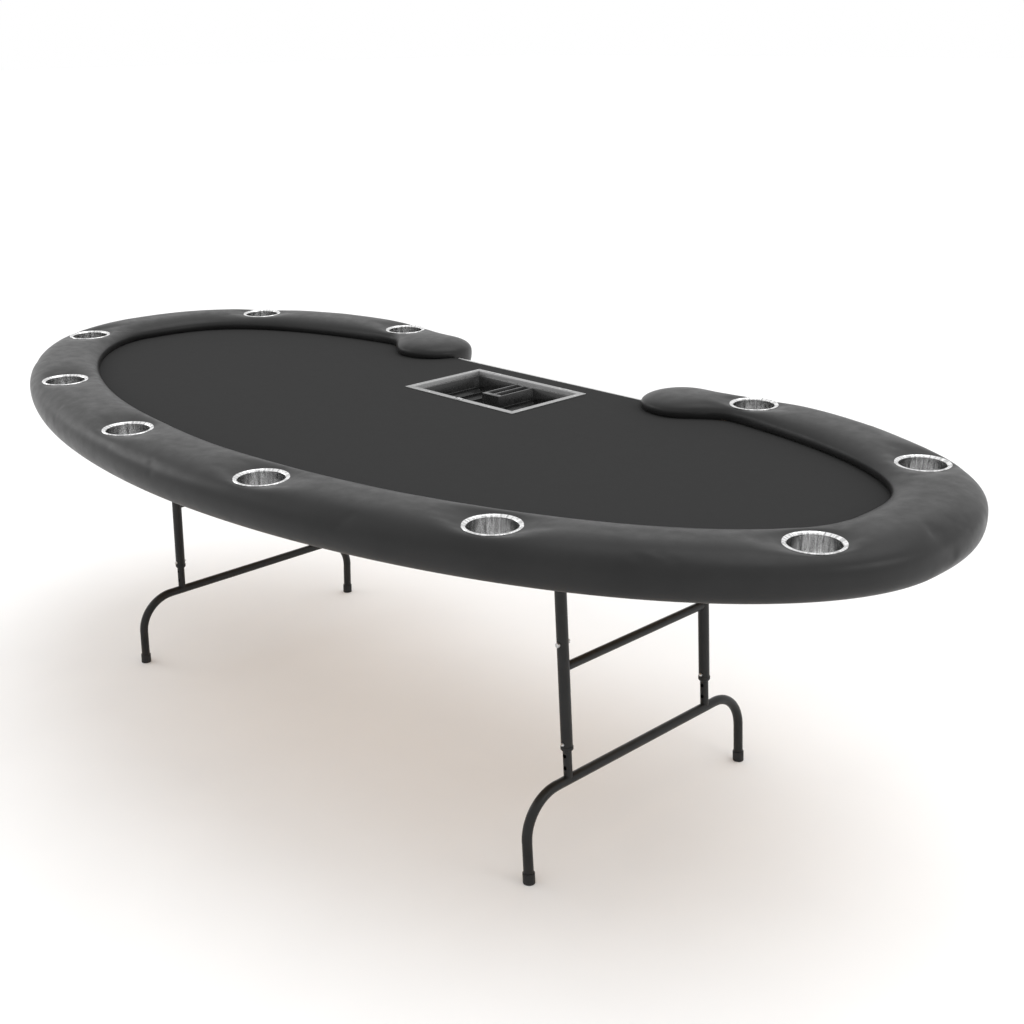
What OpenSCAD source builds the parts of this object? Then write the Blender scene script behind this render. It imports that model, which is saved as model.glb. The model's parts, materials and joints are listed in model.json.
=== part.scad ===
// Ten-seat oval poker table with a dealer's place, a padded rail, drop-in steel cups,
// a lift-out chip tray and two folding tubular legs of adjustable height.
// Millimetres. +X runs along the table, +Y points to the dealer, +Z is up.
// The origin is on the floor under the middle of the table top.

/* [Table outline] */
// Length over the rail
table_length = 2576; // [2450:2:2700]
// From the oval's long axis to the players' edge
near_reach = 658; // [630:1:690]
// From the oval's long axis to the dealer's side, before its opening is cut
far_reach = 602; // [580:1:620]
// Fullness of the players' side: 2 is an ellipse, more is squarer
near_fullness = 1.93; // [1.85:0.01:2.2]
// Fullness of the dealer's side
far_fullness = 2.69; // [2.3:0.01:2.9]
// From the oval's long axis to the dealer's straight edge
dealer_reach = 419; // [410:1:425]
// Number of straight steps that draw the rail's outline
outline_steps = 84; // [60:2:120]

/* [Padded rail] */
// Width of the rail
rail_width = 170; // [160:1:176]
// Height of the rail's crest
rail_top = 765; // [762:1:772]
// Height of the rail's lower edge
rail_bottom = 680; // [672:1:690]
// Half the length of the opening between the two rail ends, at their centres
head_x = 425; // [400:1:450]
// How much the rail's outer side turns in at its ends
head_drop = 55; // [0:1:65]
// Length over which the outer side turns in
drop_length = 340; // [200:5:400]
// How much the rail's inner side bulges at its ends
head_bulge = 85; // [40:1:100]
// Length of the inner bulge
bulge_length = 145; // [110:5:220]

/* [Table top] */
// Height of the deck's upper face
deck_top = 722; // [716:1:726]
// Thickness of the plywood deck
deck_t = 18; // [15:0.5:22]
// Distance of the deck's edge inside the rail's outer side
deck_inset = 25; // [20:1:28]
// Distance of the rail board's inner edge from the rail's outer side
board_reach = 150; // [146:1:152]
// Thickness of the rail board
board_t = 18; // [15:0.5:20]
// Thickness of the foam under the cloth
foam_t = 3; // [2:0.5:3.5]
// Thickness of the playing cloth
cloth_t = 1; // [0.5:0.1:1.2]

/* [Cups] */
// Diameter of the cup's flange
cup_flange_d = 105; // [100:1:106]
// Outer diameter of the cup's wall
cup_d = 90; // [84:1:91]
// Depth of the cup under its flange
cup_depth = 70; // [60:1:72]
// Height of the flange's underside
cup_seat = 755; // [753:0.5:757]
// Distance of the cup's centre from the rail's outer side
cup_inset = 80; // [76:1:86]

/* [Chip tray] */
// From the oval's long axis to the tray's centre
tray_reach = 252; // [245:1:260]
// Length of the tray's frame
frame_length = 360; // [350:1:370]
// Width of the tray's frame
frame_width = 240; // [236:1:244]
// Width of the frame's visible border
frame_border = 13; // [12:0.5:15]
// Diameter of a row for chips
row_d = 41; // [40:0.5:42]

/* [Legs] */
// Distance of the leg's pivot from the middle, along the table
pivot_x = 658.3; // [655:0.1:664]
// Height of the pivot
pivot_z = 640; // [636:1:644]
// Outward lean of the leg, in degrees
lean = 3.13; // [2:0.01:4]
// From the oval's long axis to the legs' centre line
leg_reach = -11; // [-20:1:10]
// Distance of each upright from the leg's centre line
upright_y = 209; // [200:1:215]
// Distance of each foot from the leg's centre line
foot_y = 326; // [315:1:335]
// Height of the lower bar
bar_z = 169; // [160:1:175]
// Height of the crossbar
crossbar_z = 400; // [390:1:420]
// Height of the uprights' lower ends
upright_end_z = 234; // [230:1:238]
// Outer diameter of an upright
upright_d = 23; // [22:0.5:24]
// Outer diameter of the sliding tube
slider_d = 17.5; // [17:0.1:17.6]
// Outer diameter of the foot bar
foot_d = 20; // [19:0.5:22]
// Distance between two height settings
height_step = 25; // [25:1:26]

/* [Hidden] */
$fn = 48;
tube_wall = 1.5;
gap = 0.3;

half_length = table_length / 2;
deck_bottom = deck_top - deck_t;
board_top = deck_top + board_t;
cloth_top = deck_top + foam_t + cloth_t;
lip_bottom = cloth_top + gap;

// Angles round the oval of the five cups on one side
cup_angles = [69.5, 35.5, -18.5, -53.3, -78.3];
// The first cup sits further in, on the widened rail end
cup_extra = [8, 0, 0, 0, 0];
// Angles round the oval of the rail's bolts on one side
bolt_angles = [52, 12, -37, -66, -88];
bolt_inset = 97;
bolt_d = 6;
// Half the length of the trim on the dealer's edge, and the width of the binding beside it
trim_half = 310;
binding_w = 6;

pocket_length = frame_length - 2 * frame_border + 1;
pocket_width = frame_width - 2 * frame_border + 1;
ledge_z = 715;
tray_rim_z = ledge_z + 1.5;
tray_floor_z = 663;
tray_length = pocket_length - 13;
tray_width = pocket_width - 13;
row_z = 691;
row_pitch = 43.5;
block_width = 56;

// Positions down the leg from its pivot, along the leaning tubes
function down_to(z) = (pivot_z - z) / cos(lean);
crossbar_s = down_to(crossbar_z);
upright_end_s = down_to(upright_end_z);
bar_s = down_to(bar_z);
cap_top_s = down_to(14);
stop_s = down_to(449);
button_s = down_to(246);
slider_top_s = down_to(388);
bend_r = 84;
pivot_tube_d = 25;
pivot_tube_l = 2 * upright_y + 62;
button_d = 7.2;

// The folding brace: where it meets the leg and the deck, and its two links
brace_bar_s = 80;
brace_bar_d = 16;
brace_ear = 25;
anchor_dx = 258.3;
anchor_z = 690;
short_link = 45.8;
link_w = 15;
link_t = 3;
rivet_d = 6;

bracket_y = 150;
batten_t = 30;
batten_w = 92;
batten_l = 560;
batten_z = deck_bottom - batten_t;

LEG_PIECES = ["pivot_tube", "uprights", "crossbar", "brace_bar", "collars", "stop_bolts",
    "sliders", "foot_bar", "foot_caps", "deck_link", "leg_link"];

// ---- The oval and the curves that run inside it ----

function signed_pow(v, p) = sign(v) * pow(abs(v), p);
function fullness(t) = sin(t) > 0 ? far_fullness : near_fullness;
function reach(t) = sin(t) > 0 ? far_reach : near_reach;
function oval_point(t) =
    [half_length * signed_pow(cos(t), 2 / fullness(t)),
     reach(t) * signed_pow(sin(t), 2 / fullness(t))];
function oval_slope(t) = let (p = 2 - 2 / fullness(t))
    [signed_pow(cos(t), p) / half_length, signed_pow(sin(t), p) / reach(t)];
// Smooth fall from 1 to 0 as u goes from 0 to 1
function ease(u) = (1 + cos(180 * min(max(u, 0), 1))) / 2;
// How far the rail ends shift towards the players, at a distance inset inside the outer side
function end_shift(x, inset) = let (part = inset / rail_width, from_end = abs(x) - head_x)
    (1 - part) * head_drop * ease(from_end / drop_length)
    + part * head_bulge * ease(from_end / bulge_length);
function oval_inset(t, inset) =
    let (edge = oval_point(t), slope = oval_slope(t), p = edge - inset * slope / norm(slope))
    sin(t) > 0 ? p - [0, end_shift(p[0], inset)] : p;
end_angle = acos(pow(head_x / half_length, far_fullness / 2));
// The oval's axis lies off the middle, so that the whole rail is centred on the origin
axis_y = (near_reach - max([for (t = [0:0.5:end_angle]) oval_inset(t, 0)[1]])) / 2;
function rail_point(t, inset) = oval_inset(t, inset) + [0, axis_y];
dealer_edge = axis_y + dealer_reach;
tray_y = axis_y + tray_reach;
leg_y = axis_y + leg_reach;
function rail_line(inset) = let (sweep = 180 + 2 * end_angle)
    [for (k = [0:outline_steps]) rail_point(end_angle - sweep * k / outline_steps, inset)];
function reversed(list) = [for (k = [len(list) - 1:-1:0]) list[k]];
// Half circle from a to b, turning clockwise or anticlockwise
function half_round(a, b, turn) =
    let (c = (a + b) / 2, r = norm(a - b) / 2, start = atan2(a[1] - c[1], a[0] - c[0]))
    [for (k = [1:11]) c + r * [cos(start + turn * 15 * k), sin(start + turn * 15 * k)]];

// The C-shaped strip between two distances inside the rail's outer side
module rail_strip(outer, inner) {
    out = rail_line(outer);
    in = rail_line(inner);
    last = outline_steps;
    polygon(concat(out, half_round(out[last], in[last], -1),
                   reversed(in), half_round(in[0], out[0], -1)));
}
// Round the tip of the left rail end, from its outer to its inner side
function left_end(outer, inner) = let (a = rail_line(outer)[outline_steps],
    b = rail_line(inner)[outline_steps]) concat(half_round(a, b, -1), [b]);
// Where that curve comes down to the line at y
function crossing(list, y) =
    let (k = min([for (i = [0:len(list) - 1]) if (list[i][1] <= y) i]), p = list[k - 1], q = list[k])
    p + (q - p) * (p[1] - y) / (p[1] - q[1]);
function mirrored(list) = [for (p = reversed(list)) [-p[0], p[1]]];
// Everything inside the rail's outer side, closed by the dealer's straight edge
module deck_shape(margin) {
    y = dealer_edge + margin;
    end = left_end(deck_inset - margin, board_reach);
    above = concat([for (p = end) if (p[1] > y) p], [crossing(end, y)]);
    polygon(concat(rail_line(deck_inset - margin), above, mirrored(above)));
}
// What shows of the cloth between the rail, the dealer's edge and the tray
module cloth_shape() {
    y = dealer_edge - binding_w;
    end = left_end(0, board_reach + 1);
    below = concat(reversed([for (p = end) if (p[1] <= y) p]), [crossing(end, y)]);
    line = rail_line(board_reach + 1);
    difference() {
        polygon(concat([for (k = [0:outline_steps - 1]) line[k]], below, mirrored(below)));
        translate([0, tray_y]) square([pocket_length, pocket_width], center = true);
    }
}
module slab(z0, z1) {
    translate([0, 0, z0]) linear_extrude(z1 - z0) children();
}
module tube(l, d, wall) {
    difference() {
        cylinder(h = l, d = d);
        translate([0, 0, -1]) cylinder(h = l + 2, d = d - 2 * wall);
    }
}

// ---- What repeats round the table ----

function cup_place(i) = let (k = i % 5, p = rail_point(cup_angles[k], cup_inset + cup_extra[k]))
    i < 5 ? p : [-p[0], p[1]];
module at_cups() {
    for (i = [0:9]) translate(cup_place(i)) children();
}
module at_bolts() {
    for (side = [1, -1]) for (t = bolt_angles) {
        p = rail_point(t, bolt_inset);
        translate([side * p[0], p[1]]) children();
    }
}
module cup_holes(z0, z1) {
    at_cups() translate([0, 0, z0 - 1]) cylinder(h = z1 - z0 + 2, d = cup_d + 2);
}
module bolt_holes(z0, z1) {
    at_bolts() translate([0, 0, z0 - 1]) cylinder(h = z1 - z0 + 2, d = bolt_d + 0.4);
}

// ---- Table top ----

module deck() {
    color("burlywood") difference() {
        slab(deck_bottom, deck_top) deck_shape(0);
        translate([0, tray_y, deck_bottom + deck_t / 2])
            cube([pocket_length, pocket_width, deck_t + 2], center = true);
        cup_holes(deck_bottom, deck_top);
        bolt_holes(deck_bottom, deck_top);
    }
}
module deck_foam() {
    color("white") slab(deck_top, deck_top + foam_t) cloth_shape();
}
module playing_cloth() {
    color([0.24, 0.24, 0.24]) slab(deck_top + foam_t, cloth_top) cloth_shape();
}
// Aluminium strip along the dealer's straight edge, between the rail ends
module edge_trim() {
    color("silver") {
        translate([-trim_half, dealer_edge + gap, deck_bottom - 1])
            cube([2 * trim_half, 6, cloth_top - deck_bottom + 1.6]);
    }
}
// Black strip that holds the cloth's cut edge
module edge_binding() {
    color([0.05, 0.05, 0.05]) {
        translate([-trim_half - 16, dealer_edge - binding_w, deck_top])
            cube([2 * trim_half + 32, binding_w, cloth_top - deck_top]);
    }
}
module rail_board() {
    color("burlywood") difference() {
        slab(deck_top, board_top) rail_strip(deck_inset, board_reach);
        cup_holes(deck_top, board_top);
        bolt_holes(deck_top, board_top);
    }
}
module rail_pad() {
    round_1 = 9;
    round_2 = 24;
    color([0.12, 0.12, 0.12]) difference() {
        union() {
            slab(rail_bottom, rail_bottom + 10) rail_strip(round_1, rail_width);
            slab(rail_bottom + 10, board_top + 10) rail_strip(0, rail_width);
            slab(board_top + 10, rail_top - 5) rail_strip(round_1, rail_width - round_1);
            slab(rail_top - 5, rail_top) rail_strip(round_2, rail_width - round_2);
        }
        slab(rail_bottom - 1, lip_bottom) deck_shape(gap);
        slab(lip_bottom - 1, board_top + gap) rail_strip(deck_inset - gap, board_reach + gap);
        cup_holes(rail_bottom, rail_top);
        at_cups() translate([0, 0, cup_seat]) cylinder(h = 30, d = cup_flange_d + 2);
    }
}
module rail_bolts() {
    head_h = 3.5;
    color("silver") at_bolts() {
        translate([0, 0, deck_bottom - head_h]) cylinder(h = head_h, d = 15);
        translate([0, 0, deck_bottom - head_h]) cylinder(h = head_h + 32, d = bolt_d);
    }
}

// Drop-in steel cup: rounded floor, thin wall and a rolled flange
module cup(i) {
    wall = 0.9;
    r = cup_d / 2;
    floor_r = 7;
    flange_r = cup_flange_d / 2;
    lip = 2.2;
    floor_out = [for (a = [0:15:90]) [r - floor_r + floor_r * sin(a), floor_r - floor_r * cos(a)]];
    floor_in = [for (p = reversed(floor_out)) [p[0] - wall * (p[0] - r + floor_r) / floor_r,
                                               p[1] + wall * (1 - p[1] / floor_r)]];
    color("silver") translate(cup_place(i)) translate([0, 0, cup_seat - cup_depth])
        rotate_extrude($fn = 96) polygon(concat(
            [[0, 0]], floor_out,
            [[r, cup_depth], [flange_r, cup_depth], [flange_r, cup_depth + lip / 2],
             [flange_r - 1, cup_depth + lip], [flange_r - 3, cup_depth + lip],
             [flange_r - 5, cup_depth + wall], [r - wall + 1.5, cup_depth + wall],
             [r - wall, cup_depth - 1]],
            floor_in, [[0, wall]]));
}

// ---- Chip tray ----

// Four mitred lengths of angle round the tray's opening
module tray_frame() {
    mitre = 0.3;
    color([0.62, 0.62, 0.62]) translate([0, tray_y]) difference() {
        union() {
            slab(cloth_top, cloth_top + 2) square([frame_length, frame_width], center = true);
            slab(ledge_z, cloth_top)
                square([pocket_length - gap, pocket_width - gap], center = true);
        }
        slab(ledge_z + 1.5, cloth_top + 3)
            square([pocket_length - 4, pocket_width - 4], center = true);
        slab(ledge_z - 1, ledge_z + 3) square([pocket_length - 12, pocket_width - 12], center = true);
        for (sx = [1, -1]) for (sy = [1, -1])
            translate([sx * frame_length / 2, sy * frame_width / 2, ledge_z - 1])
                rotate([0, 0, 45 * sx * sy]) cube([80, mitre, 60], center = true);
    }
}
screw_places = [for (sx = [1, -1]) for (p = [[0, 0.36], [0.28, 0.5]]) for (sy = [1, -1])
    [sx * (p[0] == 0 ? 0.5 * frame_length - 5 : p[0] * frame_length),
     sy * (p[1] == 0.5 ? 0.5 * frame_width - 5 : p[1] * frame_width)]];
module tray_screws() {
    color("dimgray") translate([0, tray_y, cloth_top + 2]) for (p = screw_places)
        translate([p[0], p[1], 0]) cylinder(h = 0.8, d1 = 6, d2 = 4.4, $fn = 24);
}
// Oval lock plate with its barrel, in the middle of the players' side of the frame
module tray_lock() {
    color("silver") translate([0, tray_y - frame_width / 2 + frame_border / 2 - 0.5, cloth_top + 2]) {
        intersection() {
            scale([2.2, 2.2, 1]) cylinder(h = 1.2, d = 12);
            cube([40, 10, 4], center = true);
        }
        translate([0, 0, 1.2]) cylinder(h = 1.3, d = 8);
    }
}
// Two strike plates for the tray's cover, on the dealer's side of the frame
module tray_catches() {
    color([0.1, 0.1, 0.1]) for (s = [1, -1])
        translate([s * 130, tray_y + frame_width / 2 - frame_border / 2 - 1, cloth_top + 2.5])
            cube([24, 6, 1], center = true);
}
module chip_tray() {
    wall = 3;
    row_from = -tray_width / 2 + wall;
    inner_l = tray_length - 2 * wall;
    inner_w = tray_width - 2 * wall;
    slot_l = 98;
    color([0.08, 0.08, 0.08]) translate([0, tray_y]) difference() {
        union() {
            slab(tray_floor_z, tray_rim_z + 2) square([tray_length, tray_width], center = true);
            slab(tray_rim_z, tray_rim_z + 2)
                square([pocket_length - 5, pocket_width - 5], center = true);
        }
        // The space over the rows, on both sides of the block
        for (s = [1, -1])
            translate([s * (inner_l + block_width) / 4, 0, row_z + 20])
                cube([(inner_l - block_width) / 2, inner_w, 40], center = true);
        for (s = [1, -1]) for (i = [0:2])
            translate([s * (block_width / 2 + row_pitch * (i + 0.5)), row_from, row_z])
                rotate([-90, 0, 0]) cylinder(h = inner_w, d = row_d);
        // Two slots for packs of cards, and the well in front of them
        for (s = [1, -1])
            translate([s * 13, inner_w / 2 - slot_l / 2 - 1, row_z + 10])
                cube([22, slot_l, 50], center = true);
        translate([0, row_from + 42, row_z + 22]) cube([block_width + 1, 84, 42], center = true);
        translate([0, row_from + 42, row_z]) cube([block_width - 6, 76, 36], center = true);
    }
}

// ---- What holds the legs under the deck ----

module both_sides() {
    children();
    mirror([1, 0, 0]) children();
}
module leg_battens() {
    color("burlywood") both_sides()
        translate([pivot_x - 30, leg_y - batten_l / 2, batten_z]) cube([batten_w, batten_l, batten_t]);
}
// Straps that carry the pivot tube, with a flat plate screwed to the batten
module hinge_brackets() {
    strap_w = 26;
    color([0.15, 0.15, 0.15]) both_sides() for (s = [1, -1])
        translate([pivot_x, leg_y + s * bracket_y, pivot_z]) difference() {
            union() {
                rotate([90, 0, 0]) cylinder(h = strap_w, r = pivot_tube_d / 2 + 3, center = true);
                translate([-pivot_tube_d / 2 - 3, -strap_w / 2, 0])
                    cube([pivot_tube_d + 6, strap_w, batten_z - pivot_z]);
                translate([-27, -strap_w / 2, batten_z - pivot_z - 3]) cube([76, strap_w, 3]);
            }
            rotate([90, 0, 0]) cylinder(h = strap_w + 2, r = pivot_tube_d / 2 + 0.08, center = true);
            for (x = [-21.5, 22, 41]) translate([x, 0, 0]) cylinder(h = 60, d = 5);
        }
}
module brace_anchors() {
    plate = 3;
    color([0.15, 0.15, 0.15]) both_sides() translate([pivot_x - anchor_dx, leg_y, anchor_z])
        difference() {
            union() {
                translate([-34, -16, deck_bottom - anchor_z - plate]) cube([68, 32, plate]);
                for (s = [0, 1]) mirror([0, s, 0]) translate([-9, link_t + 1, -9])
                    cube([18, 3, deck_bottom - anchor_z + 9]);
            }
            rotate([90, 0, 0]) cylinder(h = 40, d = rivet_d + 0.1, center = true);
            for (x = [-26, 26]) translate([x, 0, 0]) cylinder(h = 40, d = 5);
        }
}
module bracket_screws() {
    color("silver") both_sides() {
        for (s = [1, -1]) for (x = [-21.5, 22, 41])
            translate([pivot_x + x, leg_y + s * bracket_y, batten_z - 3]) wood_screw();
        for (x = [-26, 26]) translate([pivot_x - anchor_dx + x, leg_y, deck_bottom - 3]) wood_screw();
    }
}
module wood_screw() {
    translate([0, 0, -2.5]) cylinder(h = 2.5, d1 = 6, d2 = 9, $fn = 32);
    cylinder(h = 15, d = 4.4, $fn = 32);
}

// ---- One leg: drawn hanging straight down from its pivot, then leaned and mirrored ----

module leg_place(side) {
    mirror([side == "left" ? 1 : 0, 0, 0])
        translate([pivot_x, leg_y, pivot_z]) rotate([0, -lean, 0]) children();
}
module each_upright() {
    for (s = [1, -1]) translate([0, s * upright_y, 0]) children();
}
module along_y(l, d) {
    rotate([90, 0, 0]) cylinder(h = l, d = d, center = true);
}
module pivot_tube() {
    rotate([90, 0, 0]) translate([0, 0, -pivot_tube_l / 2]) tube(pivot_tube_l, pivot_tube_d, tube_wall);
}
module uprights() {
    each_upright() difference() {
        translate([0, 0, -upright_end_s]) tube(upright_end_s, upright_d, tube_wall);
        along_y(60, pivot_tube_d);
        translate([0, 0, -button_s]) along_y(60, button_d + 0.8);
        translate([0, 0, -stop_s]) along_y(60, 6);
    }
}
module crossbar() {
    translate([0, 0, -crossbar_s]) difference() {
        along_y(2 * upright_y, 17.5);
        along_y(2 * upright_y + 2, 17.5 - 2 * tube_wall);
        each_upright() cylinder(h = 60, d = upright_d, center = true);
    }
}
module brace_bar() {
    translate([0, 0, -brace_bar_s]) difference() {
        union() {
            along_y(2 * upright_y, brace_bar_d);
            translate([-brace_ear - 8, -link_t - 4, -8]) cube([brace_ear + 8, 3, 16]);
        }
        each_upright() cylinder(h = 60, d = upright_d, center = true);
        translate([-brace_ear, 0, 0]) along_y(40, rivet_d + 0.1);
    }
}
// Tapered collars that guide the sliding tubes
module collars() {
    each_upright() translate([0, 0, -upright_end_s]) difference() {
        union() {
            translate([0, 0, -3]) cylinder(h = 3, d1 = slider_d + 3, d2 = upright_d + 2);
            cylinder(h = 6, d = upright_d + 2);
        }
        translate([0, 0, -10]) cylinder(h = 20, r = slider_d / 2 + 0.08);
        translate([0, 0, 0]) cylinder(h = 20, d = upright_d);
    }
}
module stop_bolts() {
    each_upright() translate([0, 0, -stop_s]) {
        along_y(upright_d + 2, 5.6);
        for (s = [1, -1]) translate([0, s * (upright_d / 2 + 2), 0]) along_y(4, 9.5);
    }
}
// Spring button on one face of an upright
module button(i) {
    face = i < 2 ? 1 : -1;
    post = i % 2 == 0 ? 1 : -1;
    reach_in = 2.2;
    translate([0, post * upright_y, -button_s]) rotate([-90 * face, 0, 0]) {
        translate([0, 0, upright_d / 2 - reach_in]) cylinder(h = reach_in + 1, d = button_d);
        translate([0, 0, upright_d / 2 + 1]) cylinder(h = 3.4, d1 = button_d, d2 = 2.6);
    }
}
module sliders() {
    each_upright() difference() {
        translate([0, 0, -bar_s]) tube(bar_s - slider_top_s, slider_d, 1.2);
        for (k = [0:2]) translate([0, 0, -button_s - k * height_step]) along_y(40, button_d + 2);
        translate([0, 0, -bar_s]) along_y(60, foot_d);
    }
}
// The bends are a hair thicker than the straight lengths, so that they meet in a clean edge
module foot_path(d) {
    straight_y = foot_y - bend_r;
    swell = 0.3;
    lap = 2;
    translate([0, 0, -bar_s]) along_y(2 * straight_y + lap, d);
    for (s = [0, 1]) mirror([0, s, 0]) {
        translate([0, straight_y, -bar_s - bend_r]) rotate([90, 0, 90])
            rotate_extrude(angle = 90) translate([bend_r, 0]) circle(d = d + swell);
        translate([0, foot_y, -cap_top_s])
            cylinder(h = cap_top_s - bar_s - bend_r + lap / 2, d = d);
    }
}
module foot_bar() {
    difference() {
        foot_path(foot_d);
        foot_path(foot_d - 2 * tube_wall);
    }
}
// Plastic feet: a short sleeve round the tube's end, cut level on the floor under the leaning tube
module foot_caps() {
    floor_s = down_to(0);
    sleeve = 8;
    for (s = [1, -1]) translate([0, s * foot_y, -floor_s]) difference() {
        translate([0, 0, -2]) cylinder(h = floor_s - cap_top_s + sleeve + 2, d = foot_d + 4);
        translate([0, 0, floor_s - cap_top_s]) cylinder(h = 2 * sleeve, d = foot_d + 0.1);
        rotate([0, lean, 0]) translate([0, 0, -10]) cube([60, 60, 20], center = true);
    }
}
// The brace's links, drawn along +X from the rivet at x = 0
module link(l, y) {
    translate([0, y, 0]) rotate([90, 0, 0]) linear_extrude(link_t - gap, center = true) {
        translate([0, -link_w / 2]) square([l, link_w]);
        circle(d = link_w);
        translate([l, 0]) circle(d = link_w);
    }
}
ear_at = [pivot_x + brace_bar_s * sin(lean) - brace_ear * cos(lean),
          pivot_z - brace_bar_s * cos(lean) - brace_ear * sin(lean)];
anchor_at = [pivot_x - anchor_dx, anchor_z];
brace_length = norm(ear_at - anchor_at);
brace_angle = atan2(anchor_at[1] - ear_at[1], ear_at[0] - anchor_at[0]);
module link_place(side, at) {
    mirror([side == "left" ? 1 : 0, 0, 0])
        translate([at[0], leg_y, at[1]]) rotate([0, brace_angle, 0]) children();
}
module deck_link(side) {
    long_link = brace_length - short_link;
    link_place(side, anchor_at) {
        link(long_link, link_t / 2 + 0.05);
        along_y(2 * link_t + 11, rivet_d);
        translate([long_link, link_t / 2 + 1.6, 0]) along_y(3, rivet_d + 3);
    }
}
module leg_link(side) {
    link_place(side, ear_at) mirror([1, 0, 0]) {
        link(short_link, -link_t / 2 - 0.05);
        translate([0, -link_t - 1.5, 0]) along_y(2 * link_t + 2, rivet_d);
        translate([short_link, -link_t / 2 - 1.6, 0]) along_y(3, rivet_d + 3);
    }
}

// ---- The nodes ----

module leg_piece(side, piece) {
    black = [0.1, 0.1, 0.1];
    color(black) {
        if (piece == "pivot_tube") leg_place(side) pivot_tube();
        if (piece == "uprights") leg_place(side) uprights();
        if (piece == "crossbar") leg_place(side) crossbar();
        if (piece == "brace_bar") leg_place(side) brace_bar();
        if (piece == "collars") leg_place(side) collars();
        if (piece == "sliders") leg_place(side) sliders();
        if (piece == "foot_bar") leg_place(side) foot_bar();
        if (piece == "foot_caps") leg_place(side) foot_caps();
    }
    color("silver") {
        if (piece == "stop_bolts") leg_place(side) stop_bolts();
        if (piece == "deck_link") deck_link(side);
        if (piece == "leg_link") leg_link(side);
    }
}
deck();
deck_foam();
playing_cloth();
edge_trim();
edge_binding();
rail_board();
rail_pad();
rail_bolts();
tray_frame();
tray_screws();
tray_lock();
tray_catches();
chip_tray();
leg_battens();
hinge_brackets();
brace_anchors();
bracket_screws();
for (i = [0:9]) cup(i);
for (side = ["right", "left"]) {
    for (piece = LEG_PIECES) leg_piece(side, piece);
    for (i = [0:3]) color("silver") leg_place(side) button(i);
}
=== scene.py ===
import json
import math

import bmesh
import bpy
import numpy as np
from mathutils import Matrix, Vector
from mathutils.geometry import delaunay_2d_cdt

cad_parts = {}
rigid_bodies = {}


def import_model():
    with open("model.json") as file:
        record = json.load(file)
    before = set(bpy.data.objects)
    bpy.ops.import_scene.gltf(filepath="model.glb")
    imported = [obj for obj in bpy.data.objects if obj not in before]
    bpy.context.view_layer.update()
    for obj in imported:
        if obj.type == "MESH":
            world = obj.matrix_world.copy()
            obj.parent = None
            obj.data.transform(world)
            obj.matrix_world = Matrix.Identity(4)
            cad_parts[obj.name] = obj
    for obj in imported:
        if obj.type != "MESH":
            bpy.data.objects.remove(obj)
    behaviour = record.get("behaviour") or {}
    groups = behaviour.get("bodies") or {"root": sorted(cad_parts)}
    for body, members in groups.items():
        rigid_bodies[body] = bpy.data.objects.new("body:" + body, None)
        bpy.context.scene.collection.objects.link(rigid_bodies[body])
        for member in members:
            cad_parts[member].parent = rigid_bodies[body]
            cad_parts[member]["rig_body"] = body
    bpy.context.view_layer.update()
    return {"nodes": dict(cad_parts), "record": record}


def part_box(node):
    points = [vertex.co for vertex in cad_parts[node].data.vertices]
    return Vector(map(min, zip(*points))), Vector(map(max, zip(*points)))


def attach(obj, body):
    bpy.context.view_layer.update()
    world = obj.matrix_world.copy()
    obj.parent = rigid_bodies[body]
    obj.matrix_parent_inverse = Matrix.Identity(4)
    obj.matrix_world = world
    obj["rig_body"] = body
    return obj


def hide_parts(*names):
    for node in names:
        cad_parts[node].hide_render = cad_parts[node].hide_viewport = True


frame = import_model()
NODES = frame["nodes"]
RECORD = frame["record"]

# ---- The rail's course, in metres: an oval with its far side cut open for the dealer ----

HALF_LENGTH = 1.288
NEAR_REACH = 0.658
FAR_REACH = 0.602
NEAR_FULLNESS = 1.93
FAR_FULLNESS = 2.69
RAIL_WIDTH = 0.170
HEAD_X = 0.425
HEAD_DROP = 0.055
DROP_LENGTH = 0.340
HEAD_BULGE = 0.085
BULGE_LENGTH = 0.145
RAIL_TOP = 0.765
RAIL_BOTTOM = 0.680
WIDEST_Z = 0.722
INNER_WIDEST_Z = 0.7385
CONTACT_Z = 0.7263
BOARD_TOP = 0.7403
CUP_SEAT = 0.7547
CLEARANCE = 0.0003
FLANGE_R = 0.0525
CUP_WALL_GAP = 0.0011
DECK_TOP = 0.722
BOARD_NODE_TOP = 0.740

SPOKES = 450
HEAD_SPOKES = 40
CUPS = [f"cup_{i}" for i in range(1, 11)]
SIDES = ("right", "left")


def centre_of(node):
    low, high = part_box(node)
    return (low + high) / 2


def cup_wall_radius():
    """The widest radius of a cup below its flange."""
    centre = centre_of("cup_1")
    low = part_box("cup_1")[0].z
    wall = [v.co for v in NODES["cup_1"].data.vertices if v.co.z < low + 0.04]
    return max(math.hypot(p.x - centre.x, p.y - centre.y) for p in wall)


def signed_pow(v, p):
    return np.sign(v) * np.abs(v) ** p


def ease(u):
    return (1 + np.cos(np.pi * np.clip(u, 0, 1))) / 2


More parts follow.
